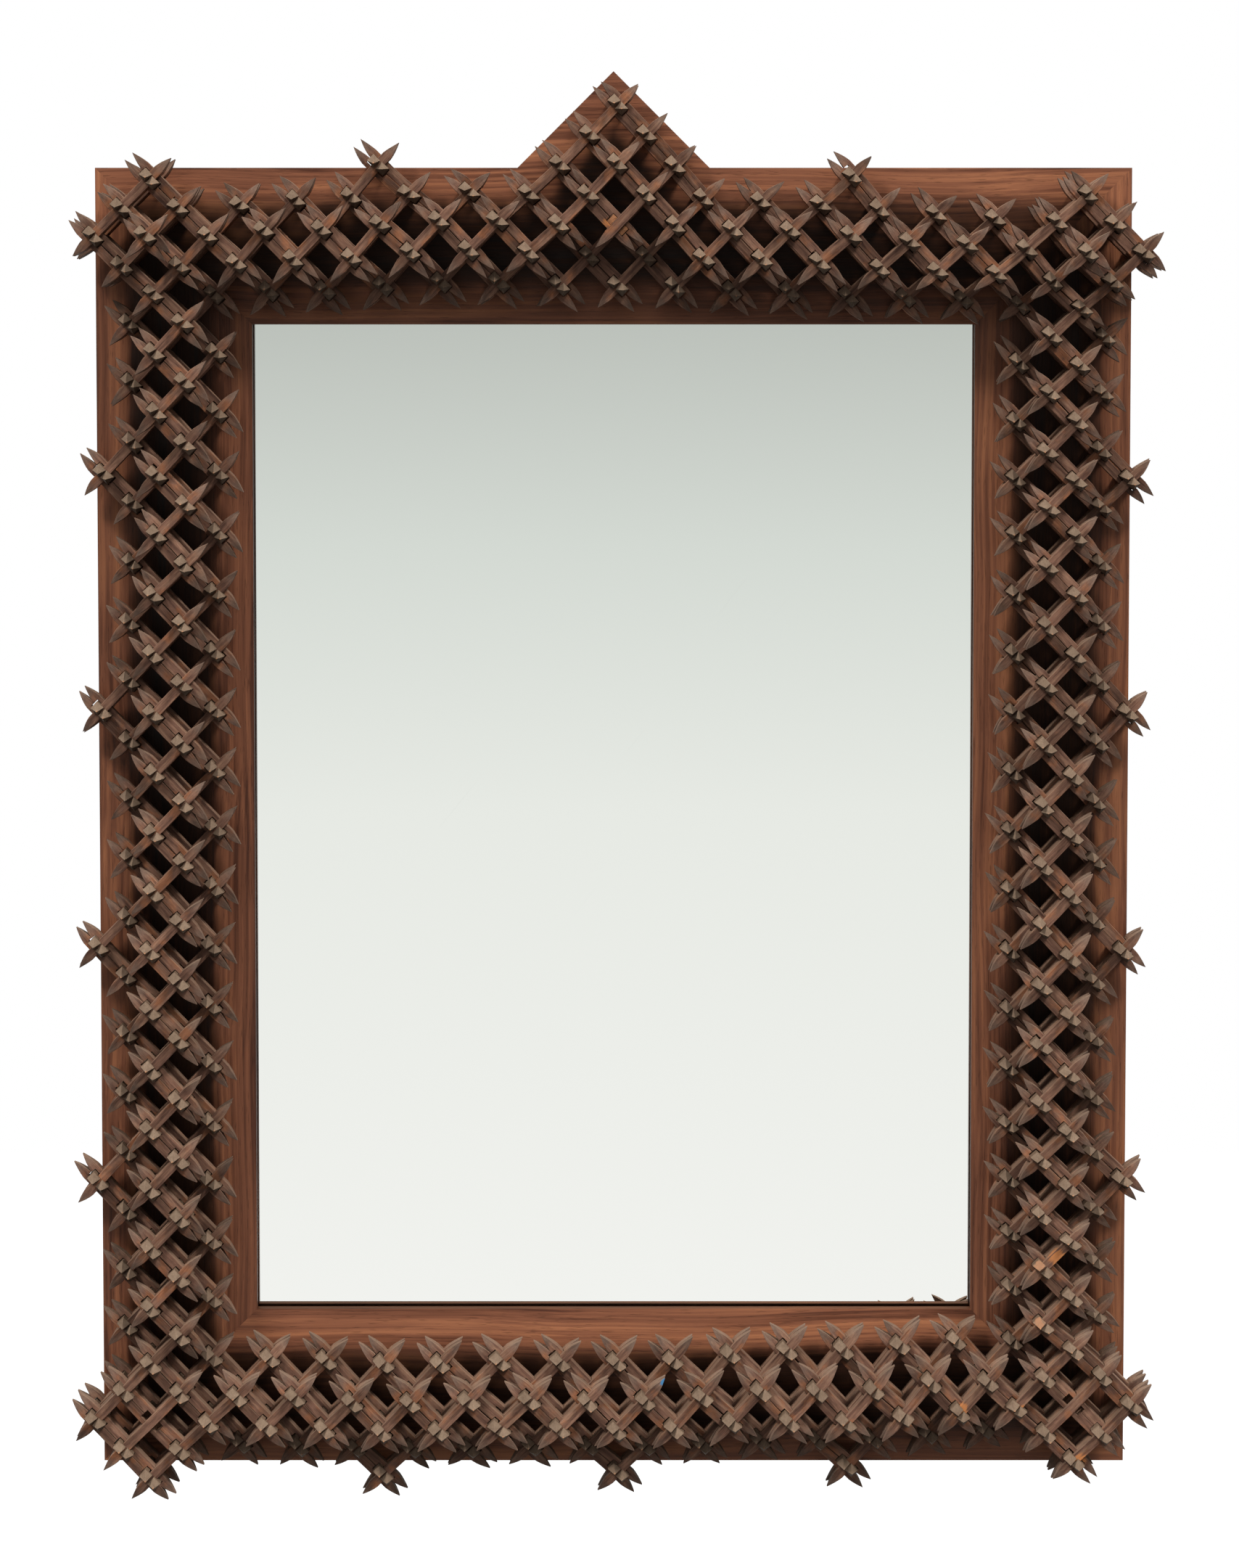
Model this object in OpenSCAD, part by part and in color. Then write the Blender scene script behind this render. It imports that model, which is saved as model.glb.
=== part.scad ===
// Wall mirror in a notched-stick ("crown of thorns") frame.
// +Z is up, the front faces -Y, and the origin is on the wall behind the middle of the boards.

/* [Board frame] */
// Width of the board frame
board_w = 680; // [620:1:760]
// Height of the board frame without the crest
board_h = 860; // [790:1:940]
// Width of the stiles and rails
rail_w = 102.5; // [98:0.5:110]
// Thickness of the boards
board_t = 10; // [9:0.5:20]
// Height of the pointed crest above the top edge
crest_rise = 63; // [56:1:90]

/* [Mirror and backing] */
// Thickness of the mirror glass
glass_t = 4.5; // [3:0.5:6]
// How far the rabbet reaches outside the sight edge
rabbet_w = 8; // [5:0.5:12]
// Play between the glass and the rabbet
glass_play = 0.3; // [0.1:0.1:0.8]
// Thickness of the back planks
plank_t = 6; // [5:0.5:10]
// How far the planks lap over the frame outside the rabbet
plank_lap = 14; // [10:1:20]
// Number of back planks
plank_count = 3; // [2:1:5]
// Gap between neighbouring planks
plank_gap = 0.8; // [0.4:0.1:0.9]
// Shank radius of a plank nail
nail_r = 0.9; // [0.6:0.1:1.4]
// Head radius of a plank nail
nail_head_r = 2; // [1.6:0.1:3]
// Thickness of a nail's head
nail_head_t = 1; // [0.6:0.1:1.5]
// How deep a nail goes into the frame
nail_bite = 4; // [3:0.5:5]
// Play of a nail or screw in its hole
hole_play = 0.05; // [0.02:0.01:0.1]

/* [Lattice] */
// Distance of the outermost crossings from the boards' side edges
edge_x = 5.2; // [4:0.1:12]
// Distance of the outermost crossings from the boards' top and bottom edges
edge_y = 3.2; // [2:0.1:12]
// Side of the square sticks and posts
stick = 6.2; // [5:0.1:6.4]
// Gap left between neighbouring sticks in a joint
joint_gap = 0.2; // [0.1:0.05:0.4]
// Height of the lower layer's middle over the boards
first_layer = 13; // [11:0.5:18]
// Distance from layer to layer
layer_rise = 20; // [18:0.5:26]
// Reach of a stick's point past its last crossing
tip_reach = 19.5; // [17:0.5:20.5]
// Length over which a stick's end is whittled to a point
tip_taper = 11; // [6:0.5:11]
// How far a whittled edge bulges out of a straight cut
tip_bulge = 0.4; // [0.2:0.1:0.8]
// How far a post stands out of the sticks in front
post_proud = 2; // [1:0.5:4]
// Height of the four-sided point on a post
post_point = 5; // [3:0.5:7]
// How far the tip of that point lies off the post's middle, towards its two lower faces
post_off = 1.2; // [0:0.1:2]
// Height of the splinters on a snapped post
splinter = 1.2; // [0.5:0.1:2]

/* [Hanging] */
// Distance of the hanger holes below the boards' top edge
hanger_drop = 130; // [100:5:230]
// Distance of the hangers' middle from the boards' side edges
hanger_edge = 40; // [30:1:55]
// Radius of the hole for the wall screw
hanger_hole_r = 4.5; // [3:0.5:5]
// Width of a hanger strap
hanger_w = 16; // [14:0.5:20]
// Thickness of a hanger strap
hanger_t = 1.5; // [1:0.1:1.8]
// Length of each of a strap's two flats
hanger_flat = 24; // [22:1:32]
// Distance between a strap's two screws
screw_pitch = 12; // [10:0.5:14]
// Gap between a strap and the wall
wall_gap = 0.5; // [0.2:0.1:1]
// Shank radius of a hanger screw
screw_r = 1.5; // [1:0.1:2]
// Head radius of a hanger screw
screw_head_r = 3; // [2.5:0.1:3.5]
// Height of a hanger screw's head
screw_head_t = 1.5; // [1:0.1:2]
// How deep a hanger screw goes into the stile
screw_bite = 7; // [5:0.5:8]

/* [Hidden] */

// Depths, measured from the wall towards the front
board_back = plank_t;
board_front = board_back + board_t;
rabbet_d = glass_t + glass_play;

// Openings in the board frame and the planks that close it
sight_w = board_w - 2 * rail_w;
sight_h = board_h - 2 * rail_w;
rabbet = [sight_w + 2 * rabbet_w, sight_h + 2 * rabbet_w];
planks = rabbet + 2 * [plank_lap, plank_lap];
plank_h = (planks.y - (plank_count - 1) * plank_gap) / plank_count;

// Columns and rows of crossings, counted in steps from the middle of the frame
col_in = 14;
col_out = 17;
row_in = 18;
row_out = 21;
corner_col = 16;
corner_row = 20;
crest_top = 24;
spur_every = 8;
col_max = col_out + 1;
row_max = row_out + 1;
step_x = (board_w / 2 - edge_x) / col_max;
step_y = (board_h / 2 - edge_y) / row_max;
pitch = norm([step_x, step_y]);
rise_angle = atan2(step_y, step_x);
post_angle = -45;

// A cell is a stick with half a gap on each side; skew is how far two sticks are from crossing square
cell = stick + joint_gap;
skew = abs(2 * rise_angle - 90);
notch_half = cell + joint_gap / 2 + stick / 2 * tan(skew);
notch_floor = cell / 2 + joint_gap / 2;
side_floor = notch_floor + cell * sin(skew / 2);

// Two flat arcs draw a stick's end to a point; an arc's chord is the straight cut from shoulder to tip
tip_root = tip_reach - tip_taper;
tip_chord = norm([tip_taper, stick / 2]);
tip_radius = tip_chord * tip_chord / (8 * tip_bulge) + tip_bulge / 2;
tip_centre = [tip_taper, stick / 2] / 2 - (tip_radius - tip_bulge) / tip_chord * [stick / 2, tip_taper];

// Layers of crossings
LOWER = 0;
UPPER = 1;
STAR = 2;
function layer_z(layer) = board_front + first_layer + layer * layer_rise;

// Number of diagonal steps from a crossing to the middle of its corner block
function corner_steps(m, n) = abs(abs(m) - corner_col) + abs(abs(n) - corner_row);
function in_ring(m, n, inset) = abs(m) <= col_out - inset && abs(n) <= row_out - inset
    && (abs(m) >= col_in + inset || abs(n) >= row_in + inset);
function in_crest(m, n, top) = n > row_in && abs(m) + n <= top;

// Single crossings outside the rails
function is_side_spur(m, n) = abs(m) == col_max && abs(n) % spur_every == spur_every / 2 && abs(n) < row_in;
function is_end_spur(m, n) = abs(n) == row_max && abs(m) % spur_every == 0 && abs(m) < col_in;

function in_lower(m, n) = in_ring(m, n, 0) || corner_steps(m, n) <= 2 || in_crest(m, n, crest_top)
    || is_side_spur(m, n) || is_end_spur(m, n);
function under_crest(m, n) = abs(m) == 1 && n == row_in + 1;
function in_upper(m, n) = !under_crest(m, n)
    && (in_ring(m, n, 1) || corner_steps(m, n) <= 2 || in_crest(m, n, crest_top - 2));
function in_star(m, n) = abs(m) == corner_col && n == corner_row;
function is_crossing(layer, m, n) = (m + n) % 2 == 0 && (layer == LOWER ? in_lower(m, n)
    : layer == UPPER ? in_upper(m, n) : layer == STAR && in_star(m, n));

// Places where the posts are snapped off: both bottom corners and one pair under the crest
function lost_star(m, n) = abs(m) == corner_col && n == -corner_row;
function lost_crest(m, n) = m == 0 && n == corner_row;

// Number of crossings on a stick that starts at m, n and rises (1) or falls (-1) to the right
function run(layer, m, n, way) = is_crossing(layer, m + 1, n + way)
    ? 1 + run(layer, m + 1, n + way, way) : 1;

// The rail that a crossing, or the middle of a stick, belongs to
function side_of(m, n) = n > row_in - 1 ? "top" : n < 1 - row_in ? "bottom" : m < 0 ? "left" : "right";

COLS = [-col_max : col_max];
ROWS = [-row_max : crest_top];

// All sticks of one layer and direction on one rail, as [column, row, number of crossings]
function sticks(layer, way, side) = [for (m = COLS, n = ROWS)
    if (is_crossing(layer, m, n) && !is_crossing(layer, m - 1, n - way))
        let (count = run(layer, m, n, way), half = (count - 1) / 2)
        if (layer == STAR || side_of(m + half, n + way * half) == side) [m, n, count]];

// All crossings on one rail whose posts end in front of the given layer
function posts(layer, side) = [for (m = COLS, n = ROWS)
    if (is_crossing(layer, m, n) && !is_crossing(layer + 1, m, n) && !lost_star(m, n)
        && !lost_crest(m, n) && (layer == STAR || side_of(m, n) == side)) [m, n]];
function snapped() = [for (m = COLS, n = ROWS)
    if (is_crossing(UPPER, m, n) && (lost_star(m, n) || lost_crest(m, n))) [m, n]];

// Turns a front view, with depth measured from the wall, upright
module upright() {
    rotate([90, 0, 0]) children();
}

module at_crossing(m, n, z, angle) {
    upright() translate([m * step_x, n * step_y, z]) rotate(angle) children();
}

// Whittled end of a stick, from its last crossing to its tip, with the shoulders at the origin
module stick_tip() {
    intersection() {
        translate([-tip_root, -stick / 2]) square([tip_reach, stick]);
        translate(tip_centre) circle(tip_radius, $fn = 96);
        translate([tip_centre.x, -tip_centre.y]) circle(tip_radius, $fn = 96);
    }
}

// Front view of a stick with the given number of crossings and both whittled ends
module stick_outline(count) {
    length = (count - 1) * pitch;
    if (length > 0) translate([0, -stick / 2]) square([length, stick]);
    translate([length + tip_root, 0]) stick_tip();
    translate([-tip_root, 0]) rotate(180) stick_tip();
}

// One of two sticks that lie side by side, notched on its inner edge at every crossing
module falling_stick(count, side) {
    translate([0, 0, -stick / 2]) linear_extrude(stick) difference() {
        translate([0, side * cell / 2]) stick_outline(count);
        for (i = [0 : count - 1])
            translate([i * pitch, 0]) square(2 * [notch_half, side_floor], center = true);
    }
}

// A stick, or two glued one behind the other, notched half through on the inner faces at every crossing
module rising_bar(count, middle, depth) {
    difference() {
        translate([0, 0, middle - depth / 2]) linear_extrude(depth) stick_outline(count);
        for (i = [0 : count - 1])
            translate([i * pitch, 0, 0]) cube(2 * [notch_half, cell, notch_floor], center = true);
    }
}

// Two posts side by side on the boards, open where their half notches meet in every layer
module post_pair(layer, top, point) {
    half = cell - joint_gap / 2;
    peaks = [[-half, board_front], [half, board_front], [half, top], [cell / 2 + post_off, top + point],
        [0, top], [-cell / 2 + post_off, top + point], [-half, top]];
    gable = [[-stick / 2, board_front], [stick / 2, board_front], [stick / 2, top], [-post_off, top + point],
        [-stick / 2, top]];
    intersection() {
        upright() translate([0, 0, -cell]) linear_extrude(2 * cell) difference() {
            polygon(peaks);
            for (i = [0 : layer])
                translate([0, layer_z(i)])
                    square(2 * [notch_floor + stick / 2 * tan(skew / 2), notch_half], center = true);
        }
        rotate([90, 0, 90]) translate([0, 0, -2 * cell]) linear_extrude(4 * cell) polygon(gable);
    }
}

// In the lower layer the two sticks of a pair are glued to one bar, in the others they lie apart
module rising_sticks(layer, side) {
    bars = layer == LOWER ? [[0, cell + stick]] : [[-cell / 2, stick], [cell / 2, stick]];
    color("#6e5142")
        for (k = sticks(layer, 1, side), bar = bars)
            at_crossing(k[0], k[1], layer_z(layer), rise_angle) rising_bar(k[2], bar[0], bar[1]);
}

module falling_sticks(layer, side) {
    color("#664a3c")
        for (k = sticks(layer, -1, side), pair = [-1, 1])
            at_crossing(k[0], k[1], layer_z(layer), -rise_angle) falling_stick(k[2], pair);
}

module standing_posts(layer, side) {
    color("#8a7260")
        for (k = posts(layer, side))
            at_crossing(k[0], k[1], 0, post_angle)
                post_pair(layer, layer_z(layer) + cell + post_proud, post_point);
}

// Stumps: level with the front of the falling sticks under the crest, behind them at the bottom corners
module snapped_posts() {
    color("#a8683a")
        for (k = snapped())
            at_crossing(k[0], k[1], 0, post_angle)
                post_pair(UPPER, layer_z(UPPER) + sign(k[1]) * stick / 2, splinter);
}

// Nail places along the planks' laps: two at each end of every plank, and a row at top and bottom
nail_x = (planks.x - plank_lap) / 2;
nail_y = (planks.y - plank_lap) / 2;
nail_inset = plank_h / 6;
nail_row = sight_w / 3;
nail_places = concat(
    [for (i = [0 : plank_count - 1], side = [-1, 1], k = [nail_inset, plank_h - nail_inset])
        [side * nail_x, -planks.y / 2 + i * (plank_h + plank_gap) + k]],
    [for (side = [-1, 1], k = [-1 : 1]) [k * nail_row, side * nail_y]]);

hanger_x = board_w / 2 - hanger_edge;
hanger_z = board_h / 2 - hanger_drop;
screw_places = [for (side = [-1, 1], k = [-1, 1])
    [side * hanger_x, hanger_z - hanger_flat + k * screw_pitch / 2]];

// A nail or screw with its head towards the wall
module fastener(head_r, head_t, shank_r, reach, head_z, play) {
    translate([0, 0, head_z]) cylinder(r = head_r + play, h = head_t, $fn = 32);
    translate([0, 0, head_z]) cylinder(r = shank_r + play, h = reach + play, $fn = 32);
}

module nail(play) {
    fastener(nail_head_r, nail_head_t, nail_r, plank_t + nail_bite, 0, play);
}

module hanger_screw(play) {
    fastener(screw_head_r, screw_head_t, screw_r, screw_head_t + hanger_t + screw_bite,
        board_back - hanger_t - screw_head_t, play);
}

// A board of the frame: its outline less the rabbet and the holes of the fasteners that reach it
module board(outline) {
    upright() difference() {
        translate([0, 0, board_back]) linear_extrude(board_t) polygon(outline);
        cube([rabbet.x, rabbet.y, 2 * (board_back + rabbet_d)], center = true);
        for (p = nail_places) translate(p) nail(hole_play);
        for (p = screw_places) translate(p) hanger_screw(hole_play);
    }
}

corner = [board_w, board_h] / 2;
sight_corner = [sight_w, sight_h] / 2;

module stile(side) {
    color("#8a5535") board([[side * corner.x, -corner.y], [side * corner.x, corner.y],
        [side * sight_corner.x, sight_corner.y], [side * sight_corner.x, -sight_corner.y]]);
}

module left_stile() {
    stile(-1);
}

module right_stile() {
    stile(1);
}

module top_rail() {
    color("#8f5a3a") board([[-corner.x, corner.y], [-crest_rise, corner.y], [0, corner.y + crest_rise],
        [crest_rise, corner.y], corner, sight_corner, [-sight_corner.x, sight_corner.y]]);
}

module bottom_rail() {
    color("#8f5a3a") board([[-corner.x, -corner.y], [corner.x, -corner.y],
        [sight_corner.x, -sight_corner.y], [-sight_corner.x, -sight_corner.y]]);
}

module mirror_glass() {
    color("#d5dcd8") upright() translate([0, 0, board_back + glass_t / 2])
        cube([rabbet.x - 2 * glass_play, rabbet.y - 2 * glass_play, glass_t], center = true);
}

module back_planks() {
    color("#a98a63") upright() difference() {
        for (i = [0 : plank_count - 1])
            translate([-planks.x / 2, -planks.y / 2 + i * (plank_h + plank_gap), 0])
                cube([planks.x, plank_h, plank_t]);
        for (p = nail_places) translate(p) nail(hole_play);
    }
}

module plank_nails() {
    color("#4a4744") upright() for (p = nail_places) translate(p) nail(0);
}

// A strap bent to a Z: one flat screwed to the stile, the other standing off it with the hole
module hanger_strap() {
    bend = hanger_z - hanger_flat / 2;
    off = board_back - hanger_t;
    profile = [[bend - hanger_flat, off], [bend - hanger_t, off], [bend - hanger_t, wall_gap],
        [bend + hanger_flat, wall_gap], [bend + hanger_flat, wall_gap + hanger_t],
        [bend, wall_gap + hanger_t], [bend, board_back], [bend - hanger_flat, board_back]];
    rotate([90, 0, 90]) translate([0, 0, -hanger_w / 2]) linear_extrude(hanger_w) polygon(profile);
}

module hanger_straps() {
    color("#8c8478") upright() for (side = [-1, 1]) translate([side * hanger_x, 0, 0]) difference() {
        hanger_strap();
        translate([0, hanger_z, 0]) cylinder(r = hanger_hole_r, h = board_back, $fn = 64);
        for (p = screw_places) if (p.x * side > 0)
            translate([0, p.y, 0]) hanger_screw(hole_play);
    }
}

module hanger_screws() {
    color("#77716a") upright() for (p = screw_places) translate(p) hanger_screw(0);
}

left_stile();
right_stile();
top_rail();
bottom_rail();
mirror_glass();
back_planks();
plank_nails();
hanger_straps();
hanger_screws();
rising_sticks(LOWER, "left");  // left_lower_rising
falling_sticks(LOWER, "left");  // left_lower_falling
rising_sticks(UPPER, "left");  // left_upper_rising
falling_sticks(UPPER, "left");  // left_upper_falling
standing_posts(LOWER, "left");  // left_short_posts
standing_posts(UPPER, "left");  // left_tall_posts
rising_sticks(LOWER, "right");  // right_lower_rising
falling_sticks(LOWER, "right");  // right_lower_falling
rising_sticks(UPPER, "right");  // right_upper_rising
falling_sticks(UPPER, "right");  // right_upper_falling
standing_posts(LOWER, "right");  // right_short_posts
standing_posts(UPPER, "right");  // right_tall_posts
rising_sticks(LOWER, "top");  // top_lower_rising
falling_sticks(LOWER, "top");  // top_lower_falling
rising_sticks(UPPER, "top");  // top_upper_rising
falling_sticks(UPPER, "top");  // top_upper_falling
standing_posts(LOWER, "top");  // top_short_posts
standing_posts(UPPER, "top");  // top_tall_posts
rising_sticks(LOWER, "bottom");  // bottom_lower_rising
falling_sticks(LOWER, "bottom");  // bottom_lower_falling
rising_sticks(UPPER, "bottom");  // bottom_upper_rising
falling_sticks(UPPER, "bottom");  // bottom_upper_falling
standing_posts(LOWER, "bottom");  // bottom_short_posts
standing_posts(UPPER, "bottom");  // bottom_tall_posts
rising_sticks(STAR, "top");  // star_rising
falling_sticks(STAR, "top");  // star_falling
standing_posts(STAR, "top");  // star_posts
snapped_posts();
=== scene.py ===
import math

import bmesh
import bpy
import numpy as np
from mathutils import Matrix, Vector


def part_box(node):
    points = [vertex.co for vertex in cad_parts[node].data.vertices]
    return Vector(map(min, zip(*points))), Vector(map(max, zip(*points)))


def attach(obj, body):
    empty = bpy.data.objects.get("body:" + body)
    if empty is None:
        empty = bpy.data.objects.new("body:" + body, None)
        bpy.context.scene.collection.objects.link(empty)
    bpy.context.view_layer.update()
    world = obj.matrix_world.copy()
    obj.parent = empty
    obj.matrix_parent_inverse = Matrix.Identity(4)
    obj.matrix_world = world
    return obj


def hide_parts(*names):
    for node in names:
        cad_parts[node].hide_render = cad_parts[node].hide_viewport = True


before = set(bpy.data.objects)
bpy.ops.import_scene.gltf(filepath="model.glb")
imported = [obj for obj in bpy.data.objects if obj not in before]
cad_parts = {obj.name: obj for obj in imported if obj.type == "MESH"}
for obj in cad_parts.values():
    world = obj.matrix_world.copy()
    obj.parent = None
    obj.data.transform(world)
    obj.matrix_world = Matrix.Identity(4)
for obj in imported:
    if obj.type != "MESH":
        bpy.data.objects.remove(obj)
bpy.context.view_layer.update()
scene = bpy.context.scene
scene.view_settings.view_transform = "Standard"
mm = 0.001


# Camera, level with the upper part of the mirror, with a lens shift as on a view camera
camera = {
    "place": (0.0039, -2.1432, 0.320),
    "pitchDeg": -2.660,
    "focalPx": 4457.7,        # focal length in photograph pixels
    "longSidePx": 2161,
    "shift": -0.19,
    "sensor": 36.0,
}


def makeCamera(sizes):
    lens = bpy.data.cameras.new("camera")
    lens.sensor_width = sizes["sensor"]
    lens.lens = sizes["focalPx"] / sizes["longSidePx"] * sizes["sensor"]
    lens.shift_y = sizes["shift"]
    eye = bpy.data.objects.new("camera", lens)
    eye.location = sizes["place"]
    eye.rotation_euler = (math.radians(90 + sizes["pitchDeg"]), 0, 0)
    scene.collection.objects.link(eye)
    scene.camera = eye


makeCamera(camera)
print("camera done")


# Node trees, for finishes and for laying pieces out

class Wire:
    # a socket that does sums: each operator adds a Math node
    def __init__(self, nodes, socket):
        self.nodes = nodes
        self.socket = socket

    def sums(self, operation, first, second):
        return self.nodes.add("ShaderNodeMath", {"operation": operation}, {0: first, 1: second})

    def __add__(self, other):
        return self.sums("ADD", self, other)

    def __sub__(self, other):
        return self.sums("SUBTRACT", self, other)

    def __rsub__(self, other):
        return self.sums("SUBTRACT", other, self)

    def __mul__(self, other):
        return self.sums("MULTIPLY", self, other)

    def __truediv__(self, other):
        return self.sums("DIVIDE", self, other)

    __radd__ = __add__
    __rmul__ = __mul__


class Nodes:
    # a node tree with one method that makes any node
    def __init__(self, tree):
        self.tree = tree

    def add(self, kind, settings=None, sockets=None, out=0):
        made = self.tree.nodes.new(kind)
        for name, value in (settings or {}).items():
            if name == "stops":
                self.setStops(made.color_ramp, value)
            else:
                setattr(made, name, value)
        for name, value in (sockets or {}).items():
            self.feed(made.inputs[name], value)
        return Wire(self, made.outputs[out])

    def feed(self, socket, value):
        if isinstance(value, Wire):
            self.tree.links.new(value.socket, socket)
        else:
            socket.default_value = value

    def setStops(self, ramp, stops):
        while len(ramp.elements) < len(stops):
            ramp.elements.new(1.0)
        for element, (place, colour) in zip(ramp.elements, stops):
            element.position = place
            element.color = colour


def tint(code):
    # linear colour of a six-digit screen colour
    parts = [int(code[k:k + 2], 16) / 255 for k in (0, 2, 4)]
    return tuple(((p + 0.055) / 1.055) ** 2.4 if p > 0.04045 else p / 12.92 for p in parts) + (1.0,)


class Paint(Nodes):
    # one material and the few shader nodes that its finish is made of
    def __init__(self, name):
        self.material = bpy.data.materials.new(name)
        self.material.use_nodes = True
        super().__init__(self.material.node_tree)
        self.shader = self.tree.nodes["Principled BSDF"]

    def place(self):
        return self.add("ShaderNodeTexCoord", out="Object")

    def facing(self, axis="Z"):
        normal = self.add("ShaderNodeNewGeometry", out="Normal")
        return self.add("ShaderNodeSeparateXYZ", sockets={0: normal}, out=axis)

    def kept(self, name, out="Fac"):
        return self.add("ShaderNodeAttribute", {"attribute_name": name}, out=out)

    def stretch(self, vector, scale, turn=(0, 0, 0), start=(0, 0, 0)):
        return self.add("ShaderNodeMapping", sockets={
            "Vector": vector, "Location": start, "Rotation": turn, "Scale": scale})

    def noise(self, vector, scale=1.0, detail=3.0, rough=0.5, swirl=0.0):
        return self.add("ShaderNodeTexNoise", sockets={
            "Vector": vector, "Scale": scale, "Detail": detail, "Roughness": rough, "Distortion": swirl})

    def step(self, value, low, high):
        return self.add("ShaderNodeMapRange", {"interpolation_type": "SMOOTHSTEP"},
                        {"Value": value, "From Min": low, "From Max": high})

    def ramp(self, value, stops):
        return self.add("ShaderNodeValToRGB", {"stops": stops}, {0: value})

    def mix(self, share, first, second, blend="MIX"):
        return self.add("ShaderNodeMix", {"data_type": "RGBA", "blend_type": blend},
                        {0: share, 6: first, 7: second}, out=2)

    def shade(self, colour, value):
        # a colour made lighter or darker by a varying value
        grey = self.add("ShaderNodeCombineColor", sockets={0: value, 1: value, 2: value})
        return self.mix(1.0, colour, grey, "MULTIPLY")

    def bump(self, height, strength, distance):
        return self.add("ShaderNodeBump", sockets={
            "Height": height, "Strength": strength, "Distance": distance})

    def finish(self, sockets):
        for name, value in sockets.items():
            self.feed(self.shader.inputs[name], value)
        return self.material


# Walnut boards: broad figure, fine stripes along the grain, short dark pores and a painted highlight on faces
# that point up
walnut = {
    "dark": tint("4e2d20"),
    "body": tint("7e4f39"),
    "light": tint("a16949"),
    "rubbed": tint("b0703f"),
    "wavesPerM": (5, 9, 9),
    "waveReach": (0, 0.014, 0.014),
    "figurePerM": (1.3, 13, 13),
    "figureRings": 7.0,
    "streaksPerM": (1.6, 55, 55),
    "stripesPerM": (3.0, 330, 330),
    "poresPerM": (90, 1500, 1500),
    "poreEdge": (0.60, 0.74),
    "poreDark": 0.35,
    "shares": (0.36, 0.1, 0.56),               # of streaks, rings and stripes in the depth of colour
    "stops": (0.38, 0.51, 0.65),               # depths that are dark, body and light
    # faces that point up get a painted highlight in the rubbed colour
    "highlightFacing": (0.4, 0.9),
    "rubbedShare": 0.2,
    "sight": (0.2375, 0.3275),                 # half width and half height of the opening
    "shadedBand": (0.020, 0.034, 0.072, 0.090),    # from the opening: painted shade starts, is full, fades and ends
    "crestTop": 0.493,
    "crestShadedBand": (0.030, 0.046),
    "crestFrom": (0.0, 0.1),
    "frontFacing": (0.5, 0.9),
    "paintedShade": 0.8,
    "lip": (0.001, 0.003),
    "lipPaintedShade": 0.6,
}


def paintedShadeShare(paint, spec):
    # how much painted shade darkens the boards under the lattice and along the edge beside the glass
    def part(axis):
        return paint.add("ShaderNodeSeparateXYZ", sockets={0: paint.place()}, out=axis)

    def sums(operation, first, second=0.0):
        return paint.add("ShaderNodeMath", {"operation": operation}, {0: first, 1: second})

    aside = sums("ABSOLUTE", part("X"))
    away = sums("MAXIMUM", aside - spec["sight"][0], sums("ABSOLUTE", part("Z")) - spec["sight"][1])
    inner, full, fading, outer = spec["shadedBand"]
    beyond = paint.step(away, fading, outer)
    crest = paint.step(spec["crestTop"] - part("Z") - aside, *spec["crestShadedBand"])
    narrow = 1.0 - paint.step(aside, *spec["crestShadedBand"])
    onCrest = crest * narrow * paint.step(part("Z"), *spec["crestFrom"])
    onFront = paint.step(paint.facing("Y") * -1.0, *spec["frontFacing"])
    # the faces along the edge of the glass get painted shade too
    shadedLip = (1.0 - onFront) * (1.0 - paint.step(away, *spec["lip"])) * spec["lipPaintedShade"]
    under = onFront * paint.step(away, inner, full) * sums("MAXIMUM", 1.0 - beyond, onCrest)
    return under * spec["paintedShade"] + shadedLip


def makeWalnut(name, turn, start, spec=walnut):
    paint = Paint(name)
    straight = paint.stretch(paint.place(), (1, 1, 1), turn, start)
    wave = paint.add("ShaderNodeTexNoise", sockets={
        "Vector": paint.stretch(straight, spec["wavesPerM"]), "Scale": 1.0, "Detail": 1.0}, out="Color")
    along = paint.add("ShaderNodeVectorMath", {"operation": "MULTIPLY_ADD"},
                      {0: wave, 1: spec["waveReach"], 2: straight})
    figure = paint.noise(paint.stretch(along, spec["figurePerM"]), 1.0, 2, 0.5, 1.2)
    rings = paint.add("ShaderNodeMath", {"operation": "PINGPONG"}, {0: figure * spec["figureRings"], 1: 1.0})
    streak = paint.noise(paint.stretch(along, spec["streaksPerM"]), 1.0, 4, 0.6)
    stripe = paint.noise(paint.stretch(along, spec["stripesPerM"]), 1.0, 4, 0.6)
    pores = paint.noise(paint.stretch(along, spec["poresPerM"]), 1.0, 1, 0.5)
    pored = paint.step(pores, *spec["poreEdge"])
    ofStreak, ofRings, ofStripe = spec["shares"]
    depth = streak * ofStreak + rings * ofRings + stripe * ofStripe
    colour = paint.ramp(depth, list(zip(spec["stops"], (spec["dark"], spec["body"], spec["light"]))))
    # painted highlight: faces that point up are made lighter in the rubbed colour
    rubbed = paint.step(paint.facing(), *spec["highlightFacing"]) * spec["rubbedShare"]
    colour = paint.mix(rubbed, colour, spec["rubbed"])
    colour = paint.shade(colour, (1.0 - pored * spec["poreDark"]) * (1.0 - paintedShadeShare(paint, spec)))
    return paint.finish({
        "Base Color": colour,
        "Roughness": 0.38 + stripe * 0.25,
        "Specular IOR Level": 0.2,
        "Normal": paint.bump(stripe * 0.6 - pored, 0.25, 0.0002),
    })


alongX = (0, 0, 0)
alongZ = (0, math.radians(90), 0)
railWood = makeWalnut("walnutRail", alongX, (0.4, 0, 0.13))
stileWood = makeWalnut("walnutStile", alongZ, (0, 0, 0))


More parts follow.
